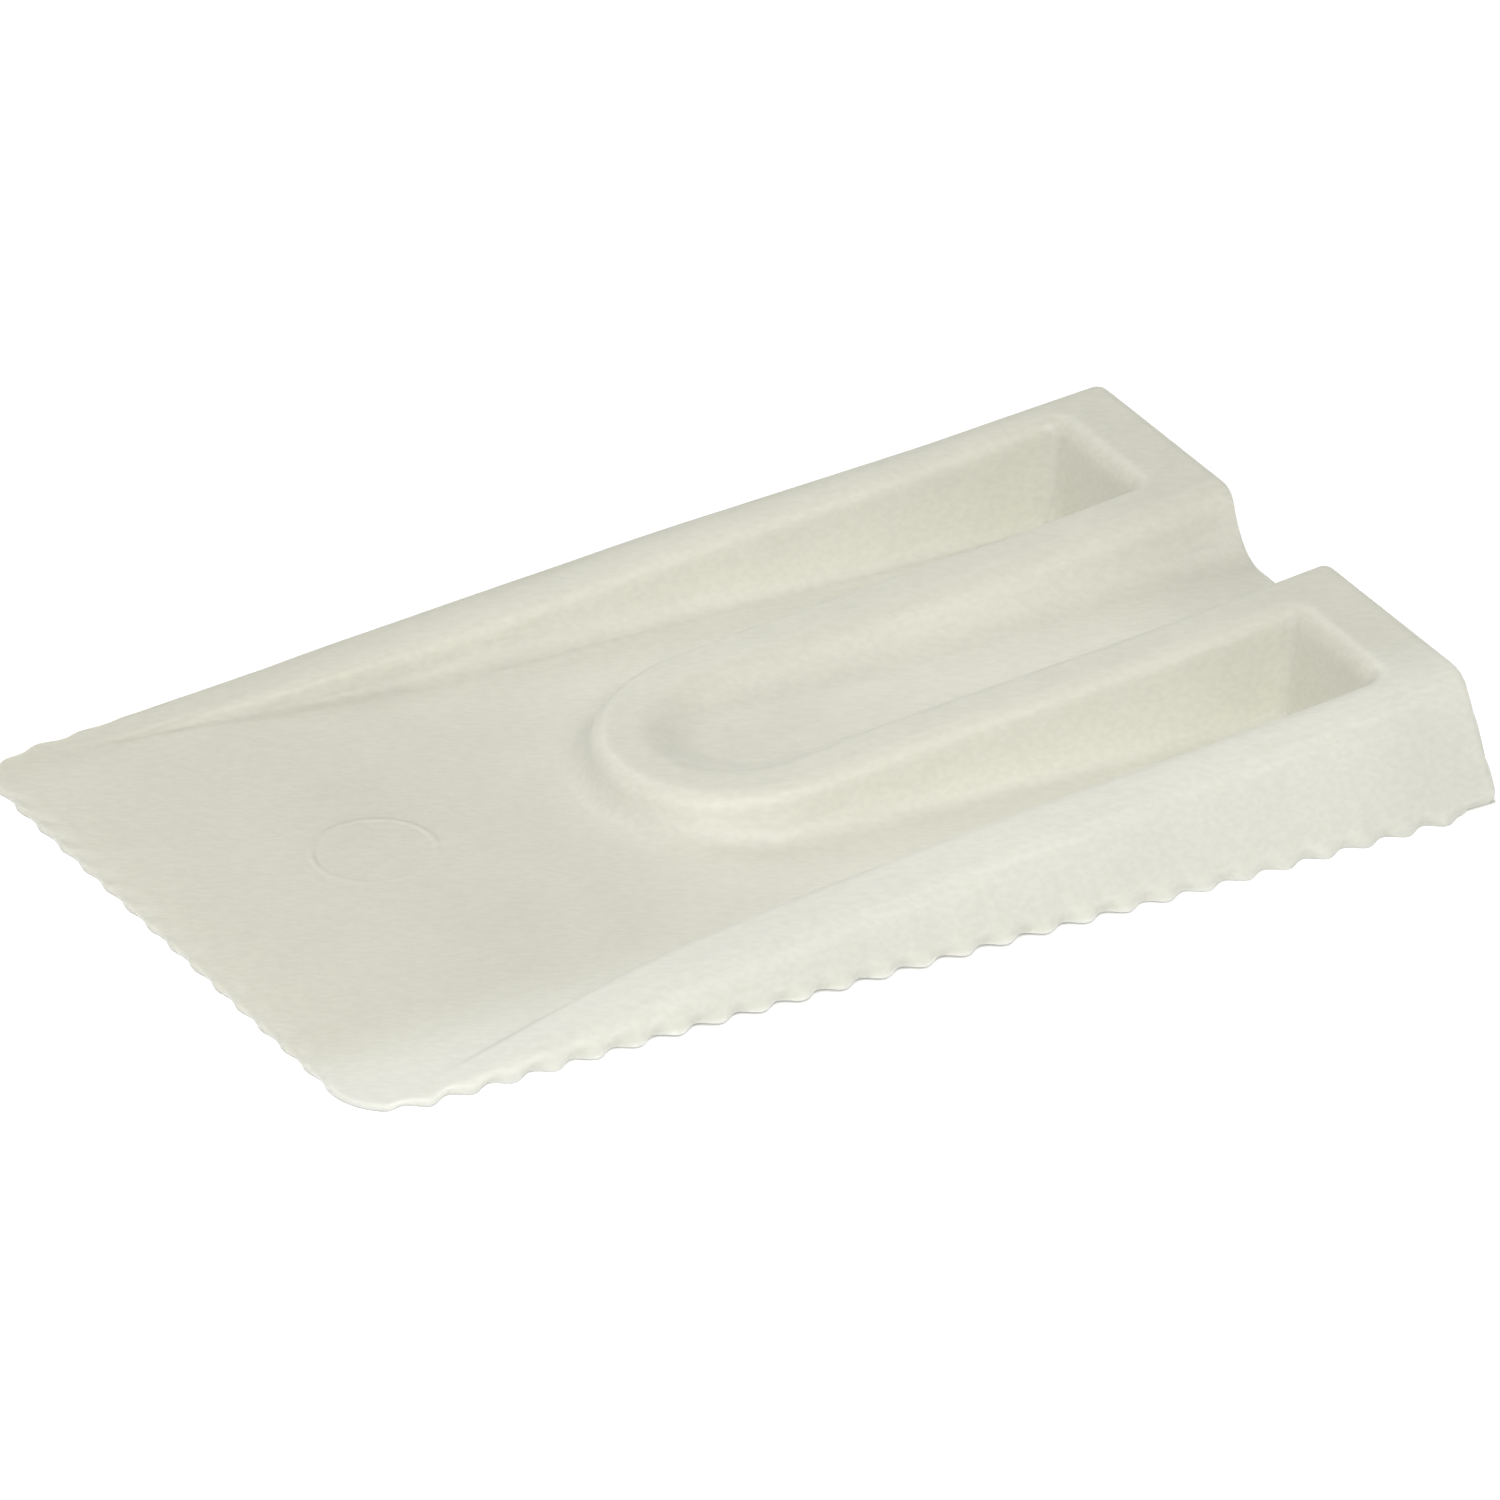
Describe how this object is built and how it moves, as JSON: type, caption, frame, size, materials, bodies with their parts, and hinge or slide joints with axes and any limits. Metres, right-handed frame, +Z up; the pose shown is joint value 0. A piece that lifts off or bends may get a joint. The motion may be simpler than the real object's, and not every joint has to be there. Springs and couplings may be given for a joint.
{
  "type": "notched adhesive spreader",
  "caption": "Wedge-shaped plastic glue spreader with wavy toothed edges, raised rims and a U-shaped rib round a finger channel.",
  "frame": {"origin": "centre of the footprint, on the surface that the spreader lies on", "axes": "+X from the toothed blade to the handle end, +Z up, +Y across the width"},
  "size_m": [0.1122, 0.072, 0.0119],
  "materials": {
    "natural_plastic": "frosted translucent natural polyethylene, fine matt mould texture"
  },
  "bodies": {
    "root": {"spreader": "natural_plastic"}
  },
  "joints": []
}
